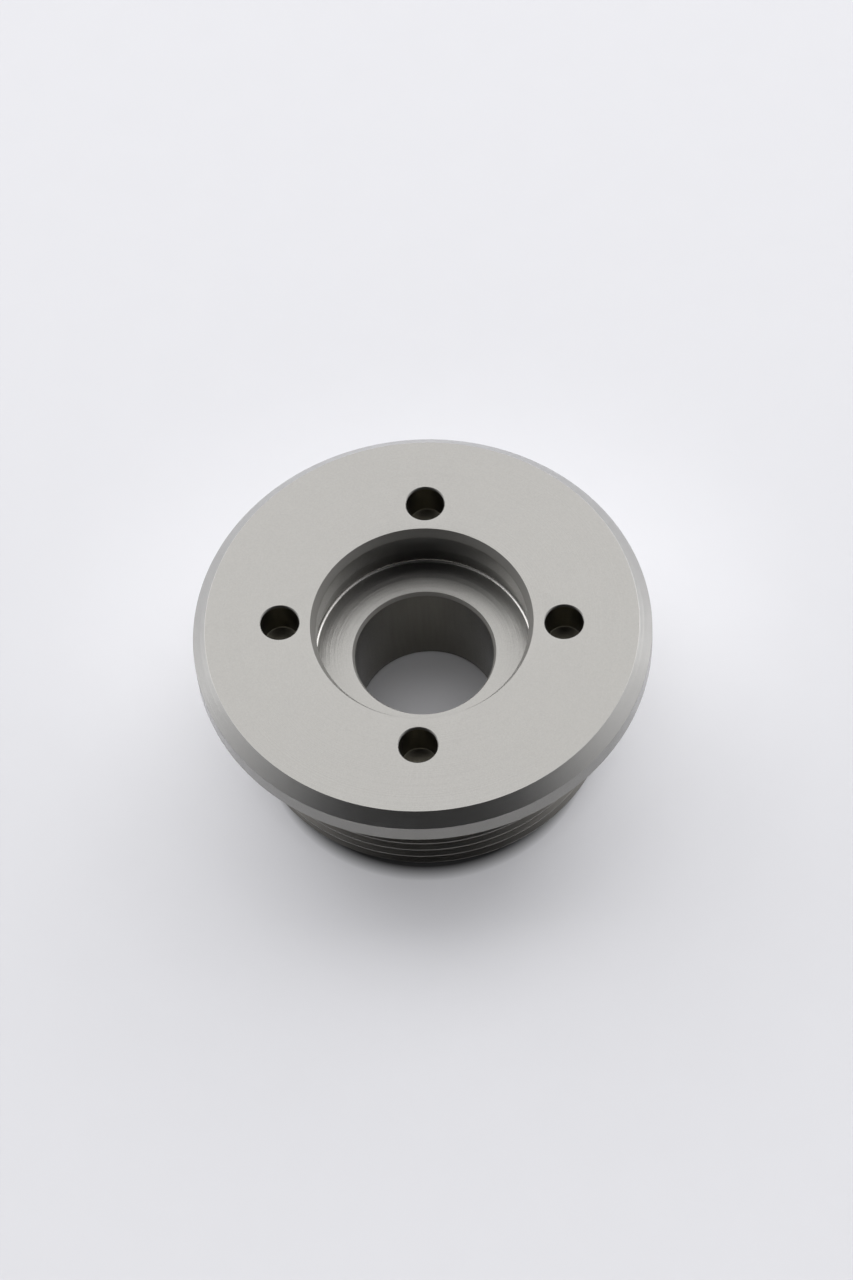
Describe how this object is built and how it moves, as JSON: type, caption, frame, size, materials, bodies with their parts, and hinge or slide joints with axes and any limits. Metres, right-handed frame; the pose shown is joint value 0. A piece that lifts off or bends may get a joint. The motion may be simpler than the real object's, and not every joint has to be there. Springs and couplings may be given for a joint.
{
  "type": "threaded flanged retainer",
  "caption": "Round turned flange on a finely threaded stub, with a through bore, a stepped seat in its face and blind holes round the seat for a pin spanner.",
  "frame": {"origin": "centre of the stub's end face, on the turning axis", "axes": "+Z along the turning axis, from the stub's end towards the flange's face; +X through one of the spanner holes"},
  "size_m": [0.036, 0.036, 0.0135],
  "materials": {
    "satin_aluminium": "satin grey, fine turned and blasted grain"
  },
  "bodies": {
    "root": {"flanged_retainer": "satin_aluminium"}
  },
  "joints": []
}
